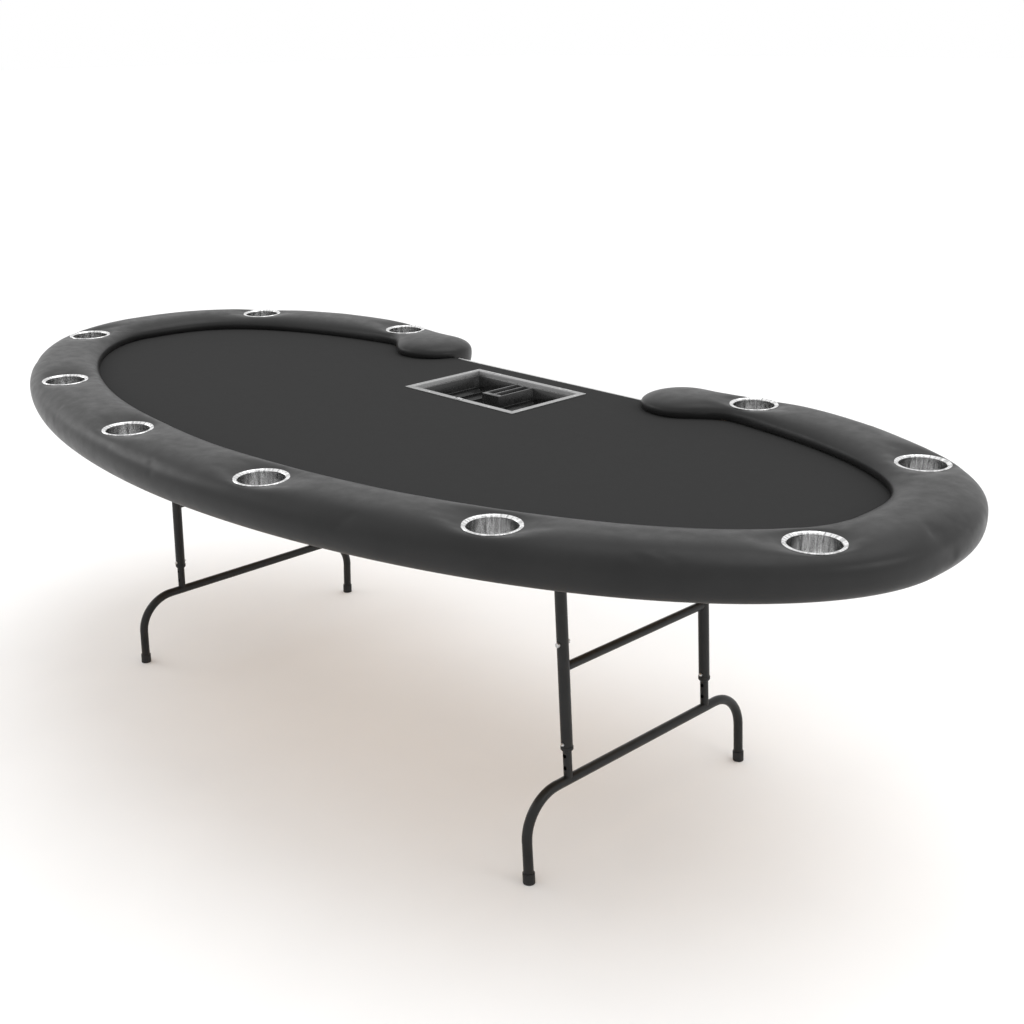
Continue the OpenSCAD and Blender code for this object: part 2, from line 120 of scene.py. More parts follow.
def oval_inset(t, inset):
    """Points at a distance inside the oval, with the rail ends drawn in at the dealer's side."""
    far = np.sin(t) > 0
    full = np.where(far, FAR_FULLNESS, NEAR_FULLNESS)
    reach = np.where(far, FAR_REACH, NEAR_REACH)
    x = HALF_LENGTH * signed_pow(np.cos(t), 2 / full)
    y = reach * signed_pow(np.sin(t), 2 / full)
    nx = signed_pow(np.cos(t), 2 - 2 / full) / HALF_LENGTH
    ny = signed_pow(np.sin(t), 2 - 2 / full) / reach
    size = np.hypot(nx, ny)
    x, y = x - inset * nx / size, y - inset * ny / size
    part = inset / RAIL_WIDTH
    from_end = np.abs(x) - HEAD_X
    shift = (1 - part) * HEAD_DROP * ease(from_end / DROP_LENGTH)
    shift += part * HEAD_BULGE * ease(from_end / BULGE_LENGTH)
    return np.stack([x, y - np.where(far, shift, 0)], 1)


def rail_course(count):
    """Matching points on the rail's outer and inner side, evenly spaced, from right to left."""
    end = math.acos((HEAD_X / HALF_LENGTH) ** (FAR_FULLNESS / 2))
    t = np.linspace(end, -math.pi - end, 6001)
    outer, inner = oval_inset(t, 0.0), oval_inset(t, RAIL_WIDTH)
    outer[:, 1] += AXIS_Y
    inner[:, 1] += AXIS_Y
    middle = (outer + inner) / 2
    along = np.concatenate([[0], np.cumsum(np.linalg.norm(np.diff(middle, axis=0), axis=1))])
    places = np.linspace(0, along[-1], count)

    def spaced(points):
        return np.stack([np.interp(places, along, points[:, k]) for k in (0, 1)], 1)

    return spaced(outer), spaced(inner)


AXIS_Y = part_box("rail_pad")[0].y + NEAR_REACH
CUP_HOLE_R = cup_wall_radius() + CUP_WALL_GAP
TRIM_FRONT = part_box("edge_trim")[0].y


# ---- Meshes ----


def new_object(name, vertices, faces):
    mesh = bpy.data.meshes.new(name)
    mesh.from_pydata([tuple(v) for v in vertices], [], [tuple(f) for f in faces])
    mesh.validate()
    obj = bpy.data.objects.new(name, mesh)
    bpy.context.scene.collection.objects.link(obj)
    return obj


def clean(obj, merge=1e-5):
    bm = bmesh.new()
    bm.from_mesh(obj.data)
    bmesh.ops.remove_doubles(bm, verts=bm.verts, dist=merge)
    bmesh.ops.dissolve_degenerate(bm, edges=bm.edges, dist=merge / 10)
    bmesh.ops.recalc_face_normals(bm, faces=bm.faces)
    bm.to_mesh(obj.data)
    bm.free()


def smooth(obj, angle=40):
    for face in obj.data.polygons:
        face.use_smooth = True
    obj.data.set_sharp_from_angle(angle=math.radians(angle))


def apply_modifiers(obj):
    graph = bpy.context.evaluated_depsgraph_get()
    mesh = bpy.data.meshes.new_from_object(obj.evaluated_get(graph))
    obj.modifiers.clear()
    obj.data = mesh


def coordinates(mesh):
    co = np.zeros(len(mesh.vertices) * 3)
    mesh.vertices.foreach_get("co", co)
    return co.reshape(-1, 3)


def top_loops(node, z):
    """The closed outlines of a CAD node's level face at height z, longest first."""
    bm = bmesh.new()
    bm.from_mesh(NODES[node].data)
    bmesh.ops.remove_doubles(bm, verts=bm.verts, dist=1e-6)
    bm.normal_update()
    level = {f for f in bm.faces if abs(f.normal.z) > 0.99 and abs(f.calc_center_median().z - z) < 1e-4}
    step = {}
    for edge in bm.edges:
        sides = [f for f in edge.link_faces if f in level]
        if len(sides) == 1:
            a, b = edge.verts
            step.setdefault(a.index, []).append(b.index)
            step.setdefault(b.index, []).append(a.index)
    spots = {v.index: (v.co.x, v.co.y) for v in bm.verts}
    bm.free()
    loops = []
    while step:
        start = next(iter(step))
        loop, here = [start], start
        while True:
            onward = [n for n in step[here] if n in step and (n not in loop[1:])]
            onward = [n for n in onward if len(loop) > 2 or n != start]
            if not onward or onward[0] == start:
                break
            here = onward[0]
            loop.append(here)
        for n in loop:
            step.pop(n, None)
        loops.append(np.array([spots[n] for n in loop]))
    return sorted(loops, key=lambda p: -np.ptp(p[:, 0]))


def widened(loop, by):
    """A closed outline moved outwards."""
    onward, back = np.roll(loop, -1, 0) - loop, loop - np.roll(loop, 1, 0)
    onward /= np.linalg.norm(onward, axis=1, keepdims=True)
    back /= np.linalg.norm(back, axis=1, keepdims=True)
    tangent = onward + back
    tangent /= np.maximum(np.linalg.norm(tangent, axis=1, keepdims=True), 1e-9)
    normal = np.stack([tangent[:, 1], -tangent[:, 0]], 1)
    x, y = loop[:, 0], loop[:, 1]
    area = np.sum(x * np.roll(y, -1) - np.roll(x, -1) * y)
    return loop + normal * by * (1 if area > 0 else -1)


def prism(name, loop, z0, z1):
    n = len(loop)
    vertices = [(x, y, z0) for x, y in loop] + [(x, y, z1) for x, y in loop]
    faces = [list(range(n))[::-1], list(range(n, 2 * n))]
    faces += [[k, (k + 1) % n, n + (k + 1) % n, n + k] for k in range(n)]
    obj = new_object(name, vertices, faces)
    bm = bmesh.new()
    bm.from_mesh(obj.data)
    bmesh.ops.triangulate(bm, faces=[f for f in bm.faces if len(f.verts) > 4])
    bmesh.ops.recalc_face_normals(bm, faces=bm.faces)
    bm.to_mesh(obj.data)
    bm.free()
    return obj


def cut(obj, *tools):
    """Takes the tools' volumes away from obj, and removes the tools."""
    for tool in tools:
        modifier = obj.modifiers.new("cut", "BOOLEAN")
        modifier.operation = "DIFFERENCE"
        modifier.solver = "MANIFOLD"
        modifier.object = tool
        apply_modifiers(obj)
        bpy.data.objects.remove(tool)


# ---- The padded rail ----

EDGE_POINTS = 15
SIDE_POINTS = 9
START_IN = 0.0022
START_DOWN = 0.0026
SWELL_CAP = 0.0048
SWELL_FRAMES = 20
PRESSURE = 4.0
SHRINK_FROM_Z = 0.74
CREST_DEPTH = 0.025
SKIRT_BLEND = 0.02
HELD_BY_CUP_R = 0.0555
FREE_OF_CUP_R = 0.055
OVER_DECK_MARGIN = 0.004


def quarter(a, b, fullness, count):
    """A quarter of a full curve, from (0, b) to (a, 0)."""
    u = np.linspace(0, math.pi / 2, count)
    return np.stack([a * np.sin(u) ** (2 / fullness), b * np.cos(u) ** (2 / fullness)], 1)


def half_profiles():
    """The rail's section from crest to underside, outwards and inwards, as (share of half width, z)."""
    over = quarter(1.0, RAIL_TOP - WIDEST_Z, 2.45, EDGE_POINTS) + [0, WIDEST_Z]
    under = quarter(0.26, WIDEST_Z - RAIL_BOTTOM, 2.3, SIDE_POINTS)[::-1]
    under = np.stack([0.74 + under[:, 0], WIDEST_Z - under[:, 1]], 1)
    outer = np.concatenate([over, under[1:], [[0.62, RAIL_BOTTOM], [0.3, RAIL_BOTTOM], [0, RAIL_BOTTOM]]])
    over = quarter(1.0, RAIL_TOP - INNER_WIDEST_Z, 2.5, EDGE_POINTS) + [0, INNER_WIDEST_Z]
    tuck = quarter(0.09, INNER_WIDEST_Z - CONTACT_Z + 0.0015, 2.0, SIDE_POINTS)[::-1]
    tuck = np.stack([0.91 + tuck[:, 0], INNER_WIDEST_Z - tuck[:, 1]], 1)
    inner = np.concatenate([over, tuck[1:], [[0.80, RAIL_BOTTOM], [0.3, RAIL_BOTTOM], [0, RAIL_BOTTOM]]])
    return outer, inner


def spokes():
    """Every spoke of the rail as (middle, tip, share of the inner profile on top, the same underneath)."""
    outer, inner = rail_course(SPOKES)
    middle = (outer + inner) / 2
    rows = [(middle[k], outer[k], 0.0, 0.0) for k in range(SPOKES)]
    rows += head_spokes(outer[-1], inner[-1], -1)
    rows += [(middle[k], inner[k], 1.0, 1.0) for k in range(SPOKES - 1, -1, -1)]
    rows += head_spokes(outer[0], inner[0], 1)[::-1]
    return rows


def head_spokes(a, b, turn):
    """Spokes round a rail end, from its outer side a to its inner side b."""
    centre, radius = (a + b) / 2, np.linalg.norm(a - b) / 2
    start = math.atan2(a[1] - centre[1], a[0] - centre[0])
    rows = []
    for k in range(1, HEAD_SPOKES):
        part = k / HEAD_SPOKES
        angle = start + turn * math.pi * part
        tip = centre + radius * np.array([math.cos(angle), math.sin(angle)])
        beyond = (tip[1] - TRIM_FRONT) / SKIRT_BLEND
        rows.append((centre, tip, float(1 - ease(part)), float(ease(beyond))))
    return rows


def pressed_by_cups(points, along):
    """The cover's top drawn down to the flanges of the cups, further along the rail than across it."""
    out = points.copy()
    for cup in CUPS:
        c = centre_of(cup)
        away = points[:, :2] - [c.x, c.y]
        far = np.linalg.norm(away, axis=1)
        near = (far < 0.13) & (points[:, 2] > WIDEST_Z + 0.006)
        k = np.argmin(far)
        lengthways = np.abs(away @ along[k]) / np.maximum(far, 1e-6)
        ramp = 0.011 + 0.046 * lengthways**3
        u = np.clip((far - FLANGE_R - 0.0008) / ramp, 0, 1)
        rise = np.sin(u * math.pi / 2) ** 0.8
        z = CUP_SEAT + (points[:, 2] - CUP_SEAT) * rise
        out[:, 2] = np.where(near & (points[:, 2] > CUP_SEAT), z, out[:, 2])
    return out


def rail_shape(name):
    """The cover before it swells: a section at every spoke, joined all the way round."""
    rows = spokes()
    outer, inner = half_profiles()
    count = len(outer)
    vertices, along = [], []
    for k, (middle, tip, top, low) in enumerate(rows):
        ahead = rows[(k + 1) % len(rows)][1] - rows[k - 1][1]
        ahead = ahead / max(np.linalg.norm(ahead), 1e-9)
        share = np.concatenate([np.full(EDGE_POINTS, top), np.full(count - EDGE_POINTS, low)])
        share[EDGE_POINTS : EDGE_POINTS + 4] = np.linspace(top, low, 6)[1:5]
        section = outer * (1 - share[:, None]) + inner * share[:, None]
        width = np.linalg.norm(tip - middle)
        away = (tip - middle) / width
        for s, z in section:
            drawn = START_IN * min(1, s / 0.8)
            place = middle + away * (s * width - drawn)
            lowered = START_DOWN * (z > SHRINK_FROM_Z) * (z - SHRINK_FROM_Z) / CREST_DEPTH
            vertices.append((place[0], place[1], z - lowered))
            along.append(ahead)
    vertices = pressed_by_cups(np.array(vertices), np.array(along))
    faces = []
    total = len(rows)
    for k in range(total):
        a, b = k * count, ((k + 1) % total) * count
        faces += [(a + j, a + j + 1, b + j + 1, b + j) for j in range(count - 1)]
    obj = new_object(name, vertices, faces)
    clean(obj, 4e-5)
    return obj


def cup_distance(points):
    centres = np.array([[centre_of(c).x, centre_of(c).y] for c in CUPS])
    away = points[:, None, :2] - centres[None]
    return np.linalg.norm(away, axis=2).min(1)


def swell(obj, held):
    """Blows the cover out with Cloth, held where the mask says, and caps how far a point moves."""
    group = obj.vertex_groups.new(name="held")
    group.add([int(k) for k in np.flatnonzero(held)], 1.0, "REPLACE")
    before = coordinates(obj.data)
    modifier = obj.modifiers.new("swell", "CLOTH")
    cloth = modifier.settings
    cloth.quality = 5
    cloth.mass = 0.35
    cloth.tension_stiffness = 18
    cloth.compression_stiffness = 12
    cloth.shear_stiffness = 6
    cloth.bending_stiffness = 0.6
    cloth.use_pressure = True
    cloth.uniform_pressure_force = PRESSURE
    cloth.effector_weights.gravity = 0
    cloth.vertex_group_mass = "held"
    modifier.collision_settings.use_collision = False
    modifier.point_cache.frame_start = 1
    modifier.point_cache.frame_end = SWELL_FRAMES
    scene = bpy.context.scene
    for number in range(1, SWELL_FRAMES + 1):
        scene.frame_set(number)
    graph = bpy.context.evaluated_depsgraph_get()
    after = coordinates(obj.evaluated_get(graph).data)
    obj.modifiers.remove(modifier)
    scene.frame_set(1)
    move = after - before
    size = np.linalg.norm(move, axis=1, keepdims=True)
    move *= SWELL_CAP * np.tanh(size / SWELL_CAP) / np.maximum(size, 1e-9)
    obj.data.vertices.foreach_set("co", (before + move).ravel())
    obj.vertex_groups.clear()
    return float(size.max())


def gather(points):
    """Soft uneven pulls in the vinyl: faint over the whole rail, stronger beside the cups."""
    x, y = points[:, 0], points[:, 1]
    broad = np.sin(x * 23.1 + 1.3 * np.sin(y * 17.0)) * np.sin(y * 26.7 + 0.7 + np.sin(x * 11.3))
    fine = np.sin(x * 71.0 + 2.1 * np.sin(y * 43.0)) * np.sin(y * 83.0 + 1.9)
    close = np.exp(-(((cup_distance(points) - 0.066) / 0.016) ** 2))
    top = np.clip((points[:, 2] - 0.735) / 0.02, 0, 1)
    return top * (0.00016 * broad + (0.00006 + 0.00035 * close) * fine)


def rail_cover():
    """The swollen vinyl cover, cut to sit on the deck, the board and the cups."""
    obj = rail_shape("rail_cover")
    points = coordinates(obj.data)
    inside = points[:, 2] < RAIL_BOTTOM + 0.002
    held = inside | (cup_distance(points) < HELD_BY_CUP_R)
    lowest = (points[:, 2] < CONTACT_Z + 0.003) & (points[:, 2] > RAIL_BOTTOM)
    held |= lowest & over_deck(points)
    print("the rail's cover swelled by up to", round(swell(obj, held) * 1000, 1), "mm")
    points = coordinates(obj.data)
    free = cup_distance(points) > FREE_OF_CUP_R
    points[:, 2] += gather(points) * free
    points[:, 2] = np.minimum(points[:, 2], RAIL_TOP + 0.0012)
    obj.data.vertices.foreach_set("co", points.ravel())
    subdivide(obj)
    board = prism("board", widened(top_loops("rail_board", BOARD_NODE_TOP)[0], CLEARANCE), 0.7255, BOARD_TOP)
    deck = prism("deck_below", widened(top_loops("deck", DECK_TOP)[0], CLEARANCE), 0.6, CONTACT_Z)
    cut(obj, deck, board, cup_drills())
    clean(obj, 2e-6)
    smooth(obj, 38)
    return dress(obj, "table_top", "vinyl", ["rail_pad"])


def over_deck(points):
    """True for points that lie over the deck, inside its outline."""
    loop = widened(top_loops("deck", DECK_TOP)[0], OVER_DECK_MARGIN)
    x, y = points[:, 0], points[:, 1]
    inside = np.zeros(len(points), bool)
    for (ax, ay), (bx, by) in zip(loop, np.roll(loop, -1, 0)):
        crosses = (ay > y) != (by > y)
        with np.errstate(divide="ignore", invalid="ignore"):
            at = ax + (y - ay) * (bx - ax) / (by - ay)
        inside ^= crosses & (x < at)
    return inside


def subdivide(obj):
    modifier = obj.modifiers.new("finer", "SUBSURF")
    modifier.levels = 1
    modifier.render_levels = 1
    apply_modifiers(obj)


def cup_drills():
    vertices, faces = [], []
    steps = 96
    for cup in CUPS:
        c = centre_of(cup)
        base = len(vertices)
        for z in (0.66, 0.79):
            for k in range(steps):
                a = 2 * math.pi * k / steps
                vertices.append((c.x + CUP_HOLE_R * math.cos(a), c.y + CUP_HOLE_R * math.sin(a), z))
        faces.append([base + k for k in range(steps)][::-1])
        faces.append([base + steps + k for k in range(steps)])
        for k in range(steps):
            n = (k + 1) % steps
            faces.append([base + k, base + n, base + steps + n, base + steps + k])
    obj = new_object("cup_drills", vertices, faces)
    clean(obj, 1e-7)
    return obj


# ---- The playing cloth and the foam under it ----

CLOTH_CELL = 0.02
CLOTH_T = 0.0008


def filled_plan(loops, cell):
    """A triangle mesh over a plan with holes, with points on a grid inside."""
    points, edges = [], []
    for loop in loops:
        start = len(points)
        points += [Vector(p) for p in loop]
        edges += [(start + k, start + (k + 1) % len(loop)) for k in range(len(loop))]
    low, high = loops[0].min(0), loops[0].max(0)
    for x in np.arange(low[0] + cell / 2, high[0], cell):
        for y in np.arange(low[1] + cell / 2, high[1], cell):
            points.append(Vector((x, y)))
    made = delaunay_2d_cdt(points, edges, [], 4, 1e-7)
    return made[0], made[2]


def edge_distance(points, loop):
    """How far each point lies from an outline."""
    best = np.full(len(points), 9.0)
    for a, b in zip(loop, np.roll(loop, -1, 0)):
        d = b - a
        u = np.clip(((points - a) @ d) / max(d @ d, 1e-12), 0, 1)
        best = np.minimum(best, np.linalg.norm(points - a - u[:, None] * d, axis=1))
    return best


def finer_loop(loop, cell):
    """The same outline with more points along its long edges."""
    out = []
    for a, b in zip(loop, np.roll(loop, -1, 0)):
        steps = max(1, int(np.linalg.norm(b - a) / cell))
        out += [a + (b - a) * k / steps for k in range(steps)]
    return np.array(out)


def sheet_piece(name, node, thick, dip):
    """A cloth or foam sheet over a CAD node's plan, rounded down at its edges."""
    low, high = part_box(node)
    loops = [finer_loop(p, CLOTH_CELL) for p in top_loops(node, high.z)[:2]]
    plan, faces = filled_plan(loops, CLOTH_CELL)
    points = np.array([[p.x, p.y] for p in plan])
    centres = np.array([points[list(f)].mean(0) for f in faces])
    pocket = loops[1]
    lo, hi = pocket.min(0), pocket.max(0)
    in_pocket = ((centres > lo) & (centres < hi)).all(1)
    faces = [f for f, skip in zip(faces, in_pocket) if not skip]
    edge = np.minimum(edge_distance(points, loops[0]), edge_distance(points, pocket))
    z = high.z - dip * np.exp(-edge / 0.004)
    z += 0.00006 * np.sin(points[:, 0] * 9.0 + 1.0) * np.sin(points[:, 1] * 13.0)
    obj = new_object(name, np.column_stack([points, z]), faces)
    bm = bmesh.new()
    bm.from_mesh(obj.data)
    bmesh.ops.delete(bm, geom=[v for v in bm.verts if not v.link_faces], context="VERTS")
    bmesh.ops.recalc_face_normals(bm, faces=bm.faces)
    if sum(f.normal.z for f in bm.faces) < 0:
        bmesh.ops.reverse_faces(bm, faces=bm.faces)
    bm.to_mesh(obj.data)
    bm.free()
    area = sum(f.area for f in obj.data.polygons)
    modifier = obj.modifiers.new("thickness", "SOLIDIFY")
    modifier.thickness = thick
    modifier.offset = -1
    apply_modifiers(obj)
    smooth(obj, 50)
    return obj, area, loops[0]


def playing_cloth():
    obj, area, loop = sheet_piece("speed_cloth_sheet", "playing_cloth", CLOTH_T, 0.0002)
    dress(obj, "table_top", "speed_cloth", ["playing_cloth"])


def foam_underlay():
    obj, _area, _loop = sheet_piece("foam_underlay", "deck_foam", 0.0028, 0.0003)
    dress(obj, "table_top", "foam", ["deck_foam"])


# ---- Materials ----


class Shader:
    """A small helper that adds nodes to one material."""

    def __init__(self, name, **settings):
        self.material = bpy.data.materials.new(name)
        self.material.use_nodes = True
        self.tree = self.material.node_tree
        self.bsdf = self.tree.nodes["Principled BSDF"]
        for key, value in settings.items():
            self.bsdf.inputs[key.replace("_", " ")].default_value = value
        self.where = self.add("ShaderNodeTexCoord").outputs["Object"]

    def add(self, kind, **inputs):
        node = self.tree.nodes.new(kind)
        for key, value in inputs.items():
            socket = node.inputs[key.replace("_", " ")]
            if isinstance(value, bpy.types.NodeSocket):
                self.tree.links.new(value, socket)
            else:
                socket.default_value = value
        return node

    def stretched(self, x, y, z):
        node = self.add("ShaderNodeMapping", Vector=self.where)
        node.inputs["Scale"].default_value = (x, y, z)
        return node.outputs["Vector"]

    def noise(self, scale, detail=3.0, rough=0.55, where=None):
        node = self.add("ShaderNodeTexNoise", Vector=where or self.where)
        node.inputs["Scale"].default_value = scale
        node.inputs["Detail"].default_value = detail
        node.inputs["Roughness"].default_value = rough
        return node.outputs["Fac"]

    def cells(self, scale, where=None, feature="DISTANCE_TO_EDGE"):
        node = self.add("ShaderNodeTexVoronoi", Vector=where or self.where)
        node.feature = feature
        node.inputs["Scale"].default_value = scale
        return node.outputs["Distance"]

    def ramp(self, fac, *stops):
        node = self.add("ShaderNodeValToRGB", Fac=fac)
        ramp = node.color_ramp
        while len(ramp.elements) < len(stops):
            ramp.elements.new(0.5)
        for element, (place, colour) in zip(ramp.elements, stops):
            element.position = place
            element.color = grey(colour) if isinstance(colour, float) else colour
        return node.outputs["Color"]

    def span(self, fac, low, high, start=0.0, stop=1.0):
        node = self.add("ShaderNodeMapRange", Value=fac)
        for key, value in (("From Min", start), ("From Max", stop), ("To Min", low), ("To Max", high)):
            node.inputs[key].default_value = value
        return node.outputs["Result"]

    def maths(self, operation, a, b=0.0):
        node = self.tree.nodes.new("ShaderNodeMath")
        node.operation = operation
        for socket, value in zip(node.inputs, (a, b)):
            if isinstance(value, bpy.types.NodeSocket):
                self.tree.links.new(value, socket)
            else:
                socket.default_value = value
        return node.outputs[0]

    def axis_sum(self, x, y):
        parts = self.add("ShaderNodeSeparateXYZ", Vector=self.where).outputs
        part_x = self.maths("MULTIPLY", parts["X"], x)
        part_y = self.maths("MULTIPLY", parts["Y"], y)
        return self.maths("ADD", part_x, part_y)

    def put(self, socket, value):
        self.tree.links.new(value, self.bsdf.inputs[socket])

    def bump(self, height, strength, distance, under=None):
        node = self.add("ShaderNodeBump", Height=height)
        node.inputs["Strength"].default_value = strength
        node.inputs["Distance"].default_value = distance
        if under is not None:
            self.tree.links.new(under, node.inputs["Normal"])
        self.put("Normal", node.outputs["Normal"])
        return node.outputs["Normal"]


def grey(v):
    return (v, v, v, 1.0)


def vinyl():
    s = Shader("black_vinyl", Roughness=0.4, IOR=1.5, Specular_IOR_Level=0.24)
    s.put("Base Color", s.ramp(s.noise(7.0, 4.0), (0.3, 0.012), (0.7, 0.017)))
    s.put("Roughness", s.span(s.noise(38.0, 5.0), 0.33, 0.43, 0.3, 0.7))
    grain = s.bump(s.cells(720.0), 0.16, 0.0003)
    s.bump(s.noise(90.0, 2.0), 0.05, 0.0008, grain)
    return s.material


def speed_cloth():
    s = Shader("charcoal_speed_cloth", Roughness=0.92, Specular_IOR_Level=0.05)
    thread = s.maths("SINE", s.maths("MULTIPLY", s.axis_sum(1.0, 0.45), 2 * math.pi / 0.0011))
    across = s.maths("SINE", s.maths("MULTIPLY", s.axis_sum(-0.45, 1.0), 2 * math.pi / 0.0014))
    weave = s.maths("MULTIPLY", thread, across)
    fuzz = s.noise(900.0, 3.0)
    mixed = s.maths("ADD", s.maths("MULTIPLY", weave, 0.25), fuzz)
    s.put("Base Color", s.ramp(mixed, (0.15, 0.0300), (0.85, 0.0370)))
    s.put("Roughness", s.span(s.noise(45.0, 3.0), 0.88, 0.97))
    s.bump(mixed, 0.18, 0.0003)
    return s.material


def steel_cup():
    """Bright steel with fine upright brushing streaks, and broad light and dark upright bands painted into
    its colour as reflections.
    """
    s = Shader("cup_steel_with_painted_reflections", Metallic=1.0, Roughness=0.25)
    around = s.add("ShaderNodeTexCoord").outputs["Generated"]
    parts = s.add("ShaderNodeSeparateXYZ", Vector=around).outputs
    x, y = s.maths("SUBTRACT", parts["X"], 0.5), s.maths("SUBTRACT", parts["Y"], 0.5)
    angle = s.maths("ARCTAN2", y, x)
    turned = s.add("ShaderNodeCombineXYZ", X=angle)
    s.tree.links.new(s.maths("MULTIPLY", parts["Z"], 0.15), turned.inputs["Z"])
    painted_reflection_bands = s.noise(2.6, 2.0, 0.6, turned.outputs["Vector"])
    fine = s.noise(34.0, 4.0, 0.7, turned.outputs["Vector"])
    mixed = s.maths("ADD", s.maths("MULTIPLY", painted_reflection_bands, 0.75), s.maths("MULTIPLY", fine, 0.25))
    # Painted reflections: the broad light and dark bands in this colour stand in for the surroundings
    # mirrored in polished steel; the fine streaks are brushing.
    s.put("Base Color", s.ramp(mixed, (0.36, 0.34), (0.46, 0.93), (0.53, 0.55), (0.60, 0.95)))
    s.put("Roughness", s.span(fine, 0.12, 0.3, 0.3, 0.7))
    s.bump(fine, 0.08, 0.0002)
    return s.material


def aluminium():
    s = Shader("brushed_aluminium", Metallic=1.0, Roughness=0.38)
    streaks = s.noise(60.0, 4.0, 0.6, s.stretched(0.12, 6.0, 6.0))
    s.put("Base Color", s.ramp(streaks, (0.3, 0.34), (0.7, 0.46)))
    s.put("Roughness", s.span(streaks, 0.32, 0.46, 0.3, 0.7))
    s.bump(streaks, 0.06, 0.0002)
    return s.material


def edge_metal():
    s = Shader("pale_edge_aluminium", Metallic=0.9, Roughness=0.4)
    streaks = s.noise(40.0, 4.0, 0.6, s.stretched(0.1, 8.0, 8.0))
    s.put("Base Color", s.ramp(streaks, (0.3, 0.72), (0.7, 0.84)))
    s.put("Roughness", s.span(streaks, 0.34, 0.48, 0.3, 0.7))
    s.bump(streaks, 0.05, 0.0002)
    return s.material


def tray_plastic():
    s = Shader("black_tray_plastic", Roughness=0.25, IOR=1.5)
    s.bsdf.inputs["Coat Weight"].default_value = 0.25
    s.bsdf.inputs["Coat Roughness"].default_value = 0.12
    s.put("Base Color", s.ramp(s.noise(30.0, 3.0), (0.3, 0.010), (0.7, 0.016)))
    s.put("Roughness", s.span(s.noise(120.0, 4.0), 0.2, 0.36, 0.3, 0.7))
    s.bump(s.noise(420.0, 2.0), 0.05, 0.0002)
    return s.material


def leg_paint():
    s = Shader("black_powder_paint", Roughness=0.35, IOR=1.5, Specular_IOR_Level=0.26)
    s.put("Base Color", s.ramp(s.noise(20.0, 3.0), (0.3, 0.009), (0.7, 0.014)))
    s.put("Roughness", s.span(s.noise(60.0, 4.0), 0.28, 0.42, 0.3, 0.7))
    s.bump(s.noise(640.0, 2.0), 0.12, 0.0003)
    return s.material


def zinc():
    s = Shader("zinc_plated_steel", Metallic=1.0, Roughness=0.35)
    s.put("Base Color", s.ramp(s.noise(160.0, 4.0), (0.3, 0.42), (0.7, 0.62)))
    s.put("Roughness", s.span(s.noise(220.0, 3.0), 0.26, 0.46, 0.3, 0.7))
    s.bump(s.noise(500.0, 2.0), 0.06, 0.0002)
    return s.material


def chrome():
    s = Shader("lock_chrome", Metallic=1.0, Roughness=0.12)
    s.put("Base Color", s.ramp(s.noise(300.0, 3.0), (0.3, 0.55), (0.7, 0.72)))
    s.put("Roughness", s.span(s.noise(400.0, 3.0), 0.08, 0.2, 0.3, 0.7))
    return s.material


def black_plastic():
    s = Shader("matte_black_plastic", Roughness=0.55, Specular_IOR_Level=0.3)
    s.put("Base Color", s.ramp(s.noise(50.0, 3.0), (0.3, 0.010), (0.7, 0.017)))
    s.put("Roughness", s.span(s.noise(300.0, 3.0), 0.48, 0.64, 0.3, 0.7))
    s.bump(s.noise(900.0, 2.0), 0.15, 0.0003)
    return s.material


def plywood():
    """Birch plywood: long grain on its faces, thin dark glue lines on its edges."""
    s = Shader("birch_plywood", Roughness=0.6, Specular_IOR_Level=0.3)
    grain = s.noise(26.0, 6.0, 0.6, s.stretched(0.35, 5.0, 1.0))
    face = s.ramp(grain, (0.3, (0.42, 0.27, 0.14, 1)), (0.7, (0.60, 0.42, 0.25, 1)))
    height = s.add("ShaderNodeSeparateXYZ", Vector=s.where).outputs["Z"]
    ply = s.maths("SINE", s.maths("MULTIPLY", height, 2 * math.pi / 0.0036))
    edge = s.ramp(s.span(ply, 0, 1, -1, 1), (0.2, (0.20, 0.11, 0.05, 1)), (0.45, (0.55, 0.38, 0.21, 1)))
    up = s.add("ShaderNodeSeparateXYZ", Vector=s.add("ShaderNodeNewGeometry").outputs["Normal"])
    level = s.maths("ABSOLUTE", up.outputs["Z"])
    # Inputs 6 and 7 and output 2 are the mix node's colour sockets.
    mix = s.tree.nodes.new("ShaderNodeMix")
    mix.data_type = "RGBA"
    s.tree.links.new(s.span(level, 0, 1, 0.4, 0.6), mix.inputs["Factor"])
    s.tree.links.new(edge, mix.inputs[6])
    s.tree.links.new(face, mix.inputs[7])
    s.put("Base Color", mix.outputs[2])
    s.put("Roughness", s.span(grain, 0.5, 0.72, 0.3, 0.7))
    s.bump(grain, 0.1, 0.0004)
    return s.material


def foam_rubber():
    s = Shader("grey_foam", Roughness=0.95, Specular_IOR_Level=0.15)
    s.put("Base Color", s.ramp(s.cells(800.0), (0.0, 0.10), (0.35, 0.28)))
    s.bump(s.cells(800.0), 0.5, 0.0005)
    return s.material


MAKERS = {
    "vinyl": vinyl,
    "speed_cloth": speed_cloth,
    "foam": foam_rubber,
    "cup": steel_cup,
    "aluminium": aluminium,
    "edge": edge_metal,
    "tray": tray_plastic,
    "paint": leg_paint,
    "zinc": zinc,
    "chrome": chrome,
    "plastic": black_plastic,
    "plywood": plywood,
}
MADE = {}


def material(name):
    if name not in MADE:
        MADE[name] = MAKERS[name]()
    return MADE[name]


def dress(obj, body, look, stands_for):
    """Gives a new piece its material, its body and the CAD nodes that it replaces."""
    obj.data.materials.clear()
    obj.data.materials.append(material(look))
    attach(obj, body)
    if stands_for:
        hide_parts(*stands_for)
    return obj


# ---- Moulded and pressed pieces: the CAD shape with its edges rounded over ----


